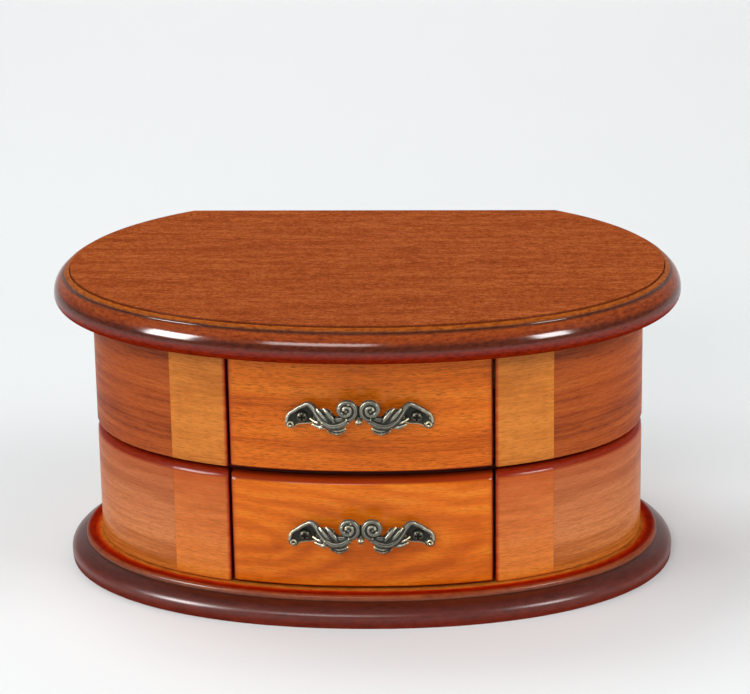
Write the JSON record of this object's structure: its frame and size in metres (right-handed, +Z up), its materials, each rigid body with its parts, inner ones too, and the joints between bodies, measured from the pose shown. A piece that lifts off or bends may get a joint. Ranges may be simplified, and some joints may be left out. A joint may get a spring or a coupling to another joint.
{
  "type": "musical jewelry box",
  "caption": "Oval wooden musical jewelry box with a flat back, hinged moulded lid with a mirror, curved drawers with scroll handles, lined wells and a wind-up movement.",
  "frame": {"origin": "middle of the width at the underside of the base felt, under the widest place of the oval", "axes": "+X to the right seen from the front, +Y from the drawers towards the flat back, +Z up"},
  "size_m": [0.2898, 0.1924, 0.1461],
  "materials": {
    "mahogany": "gloss",
    "orange_veneer": "gloss",
    "dark_stave": "gloss",
    "light_stave": "gloss",
    "maroon_moulding": "gloss",
    "stained_edge": "satin",
    "inner_board": "satin",
    "velvet": "matte",
    "felt": "matte",
    "mirror": "polished",
    "antique_brass": "antique",
    "brass": "satin",
    "steel": "brushed",
    "clear": "polished"
  },
  "bodies": {
    "root": {"base_plinth": "maroon_moulding", "base_felt": "felt", "back_panel": "mahogany", "upper_left_front_stave": "light_stave", "upper_left_side_stave": "dark_stave", "upper_right_front_stave": "light_stave", "upper_right_side_stave": "dark_stave", "lower_left_front_stave": "light_stave", "lower_left_side_stave": "dark_stave", "lower_right_front_stave": "light_stave", "lower_right_side_stave": "dark_stave", "middle_shelf": "stained_edge", "left_bay_wall": "inner_board", "right_bay_wall": "inner_board", "rear_partition": "inner_board", "tray_board": "inner_board", "left_hinge_body_leaf": "brass", "left_hinge_pin": "steel", "right_hinge_body_leaf": "brass", "right_hinge_pin": "steel", "movement_bedplate": "brass", "spring_housing": "steel", "music_comb": "steel", "governor_frame": "steel", "movement_cover": "clear", "left_well_lining": "velvet", "right_well_lining": "velvet", "tray_lining": "velvet", "ring_roll_front": "velvet", "ring_roll_rear": "velvet"},
    "lid": {"lid_moulding": "mahogany", "lid_top_panel": "orange_veneer", "lid_mirror": "mirror", "left_hinge_lid_leaf": "brass", "right_hinge_lid_leaf": "brass"},
    "upper_drawer": {"upper_drawer_front": "orange_veneer", "upper_drawer_left_side": "inner_board", "upper_drawer_right_side": "inner_board", "upper_drawer_back": "inner_board", "upper_drawer_bottom": "inner_board", "upper_drawer_lining": "velvet", "upper_handle": "antique_brass", "upper_handle_left_screw": "antique_brass", "upper_handle_right_screw": "antique_brass"},
    "lower_drawer": {"lower_drawer_front": "orange_veneer", "lower_drawer_left_side": "inner_board", "lower_drawer_right_side": "inner_board", "lower_drawer_back": "inner_board", "lower_drawer_bottom": "inner_board", "lower_drawer_lining": "velvet", "lower_handle": "antique_brass", "lower_handle_left_screw": "antique_brass", "lower_handle_right_screw": "antique_brass"},
    "winding": {"winding_arbor": "steel", "winding_key": "antique_brass"},
    "cylinder": {"music_cylinder": "brass"},
    "great_wheel": {"great_wheel": "brass"},
    "governor": {"governor_wheel": "brass"},
    "fly": {"governor_fly": "brass"},
    "stop": {"stop_pin": "brass"}
  },
  "joints": [
    {"name": "lid_hinge", "type": "hinge", "parent": "root", "child": "lid", "pos_m": [0, 0.0806, 0.12915], "axis": [-1, 0, 0], "range_deg": [0, 100]},
    {"name": "upper_drawer_slide", "type": "slide", "parent": "root", "child": "upper_drawer", "axis": [0, -1, 0], "range_m": [0, 0.075]},
    {"name": "lower_drawer_slide", "type": "slide", "parent": "root", "child": "lower_drawer", "axis": [0, -1, 0], "range_m": [0, 0.09]},
    {"name": "winding_key_turn", "type": "hinge", "parent": "root", "child": "winding", "pos_m": [-0.02, 0.078, 0.103], "axis": [0, 1, 0], "continuous": true},
    {"name": "cylinder_turn", "type": "hinge", "parent": "root", "child": "cylinder", "pos_m": [0, 0.058, 0.103], "axis": [1, 0, 0], "continuous": true},
    {"name": "great_wheel_turn", "type": "hinge", "parent": "root", "child": "great_wheel", "pos_m": [-0.02, 0.065, 0.103], "axis": [0, 1, 0], "continuous": true},
    {"name": "governor_turn", "type": "hinge", "parent": "root", "child": "governor", "pos_m": [0.02, 0.058, 0.1116], "axis": [1, 0, 0], "continuous": true},
    {"name": "fly_turn", "type": "hinge", "parent": "root", "child": "fly", "pos_m": [0.02095, 0.058, 0.11685], "axis": [0, 1, 0], "continuous": true},
    {"name": "stop_pin_rise", "type": "slide", "parent": "root", "child": "stop", "axis": [0, 0, 1], "range_m": [0, 0.003]}
  ],
  "couplings": [
    {"joint": "great_wheel_turn", "follows": "cylinder_turn", "ratio": -0.29412},
    {"joint": "governor_turn", "follows": "cylinder_turn", "ratio": -3},
    {"joint": "fly_turn", "follows": "cylinder_turn", "ratio": 30},
    {"joint": "stop_pin_rise", "follows": "lid_hinge", "m_per_rad": 0.0017}
  ]
}
